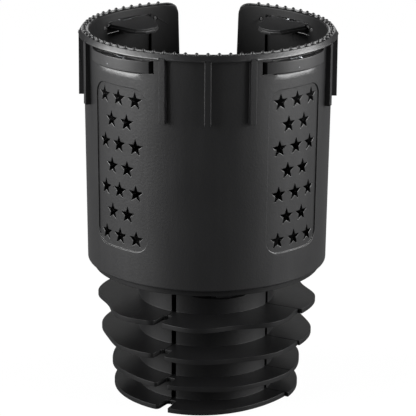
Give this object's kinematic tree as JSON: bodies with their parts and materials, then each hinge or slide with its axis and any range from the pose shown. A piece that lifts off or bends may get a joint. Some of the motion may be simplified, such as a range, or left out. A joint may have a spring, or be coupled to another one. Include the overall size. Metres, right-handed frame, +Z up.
{
  "type": "car cup holder expander",
  "caption": "Black plastic car cup holder expander: a wide cup with folding grips and star-shaped vents, turned by hand to spread the finned jaws of its base.",
  "frame": {"origin": "on the cup's axis, at the level of the base's feet", "axes": "+Z up along the axis; front towards -Y, between the two front grips; +X to the right seen from the front; metres"},
  "size_m": [0.1068, 0.105, 0.1562],
  "materials": {
    "black_plastic": "satin",
    "grey_nylon": "matte",
    "soft_rubber": "matte",
    "steel": "satin",
    "spring_steel": "polished"
  },
  "bodies": {
    "base": {"guide_plate": "black_plastic", "bottom_cap": "black_plastic"},
    "cup_body": {"cup": "black_plastic", "floor_pad": "soft_rubber", "grip_cover_front_left": "black_plastic", "grip_cover_front_right": "black_plastic", "grip_cover_rear_left": "black_plastic", "grip_cover_rear_right": "black_plastic", "flap_pin_front_left": "steel", "flap_pin_front_right": "steel", "flap_pin_rear_left": "steel", "flap_pin_rear_right": "steel", "flap_spring_front_left": "spring_steel", "flap_spring_front_right": "spring_steel", "flap_spring_rear_left": "spring_steel", "flap_spring_rear_right": "spring_steel", "scroll_plate": "grey_nylon", "scroll_screws": "steel", "pivot_washer": "steel", "pivot_screw": "steel"},
    "jaw_front_body": {"jaw_front": "black_plastic", "slide_block_front": "grey_nylon", "jaw_screw_front": "steel"},
    "jaw_right_body": {"jaw_right": "black_plastic", "slide_block_right": "grey_nylon", "jaw_screw_right": "steel"},
    "jaw_rear_body": {"jaw_rear": "black_plastic", "slide_block_rear": "grey_nylon", "jaw_screw_rear": "steel"},
    "jaw_left_body": {"jaw_left": "black_plastic", "slide_block_left": "grey_nylon", "jaw_screw_left": "steel"},
    "flap_front_left_body": {"grip_flap_front_left": "black_plastic"},
    "flap_front_right_body": {"grip_flap_front_right": "black_plastic"},
    "flap_rear_left_body": {"grip_flap_rear_left": "black_plastic"},
    "flap_rear_right_body": {"grip_flap_rear_right": "black_plastic"}
  },
  "joints": [
    {"name": "cup_turn", "type": "hinge", "parent": "base", "child": "cup_body", "pos_m": [0, 0, 0.06], "axis": [0, 0, 1], "range_deg": [0, 80]},
    {"name": "jaw_front_slide", "type": "slide", "parent": "base", "child": "jaw_front_body", "axis": [0.2924, -0.9563, 0], "range_m": [0, 0.006]},
    {"name": "jaw_right_slide", "type": "slide", "parent": "base", "child": "jaw_right_body", "axis": [0.9563, 0.2924, 0], "range_m": [0, 0.006]},
    {"name": "jaw_rear_slide", "type": "slide", "parent": "base", "child": "jaw_rear_body", "axis": [-0.2924, 0.9563, 0], "range_m": [0, 0.006]},
    {"name": "jaw_left_slide", "type": "slide", "parent": "base", "child": "jaw_left_body", "axis": [-0.9563, -0.2924, 0], "range_m": [0, 0.006]},
    {"name": "flap_front_left_fold", "type": "hinge", "parent": "cup_body", "child": "flap_front_left_body", "pos_m": [-0.03469, -0.03469, 0.1493], "axis": [-0.7071, 0.7071, 0], "range_deg": [0, 62], "stiffness_Nm_per_rad": 0.02, "springref_deg": -17.19},
    {"name": "flap_front_right_fold", "type": "hinge", "parent": "cup_body", "child": "flap_front_right_body", "pos_m": [0.03469, -0.03469, 0.1493], "axis": [-0.7071, -0.7071, 0], "range_deg": [0, 62], "stiffness_Nm_per_rad": 0.02, "springref_deg": -17.19},
    {"name": "flap_rear_left_fold", "type": "hinge", "parent": "cup_body", "child": "flap_rear_left_body", "pos_m": [-0.03469, 0.03469, 0.1493], "axis": [0.7071, 0.7071, 0], "range_deg": [0, 62], "stiffness_Nm_per_rad": 0.02, "springref_deg": -17.19},
    {"name": "flap_rear_right_fold", "type": "hinge", "parent": "cup_body", "child": "flap_rear_right_body", "pos_m": [0.03469, 0.03469, 0.1493], "axis": [0.7071, -0.7071, 0], "range_deg": [0, 62], "stiffness_Nm_per_rad": 0.02, "springref_deg": -17.19}
  ],
  "couplings": [
    {"joint": "jaw_front_slide", "follows": "cup_turn", "m_per_rad": 0.0042971},
    {"joint": "jaw_right_slide", "follows": "cup_turn", "m_per_rad": 0.0042971},
    {"joint": "jaw_rear_slide", "follows": "cup_turn", "m_per_rad": 0.0042971},
    {"joint": "jaw_left_slide", "follows": "cup_turn", "m_per_rad": 0.0042971}
  ]
}
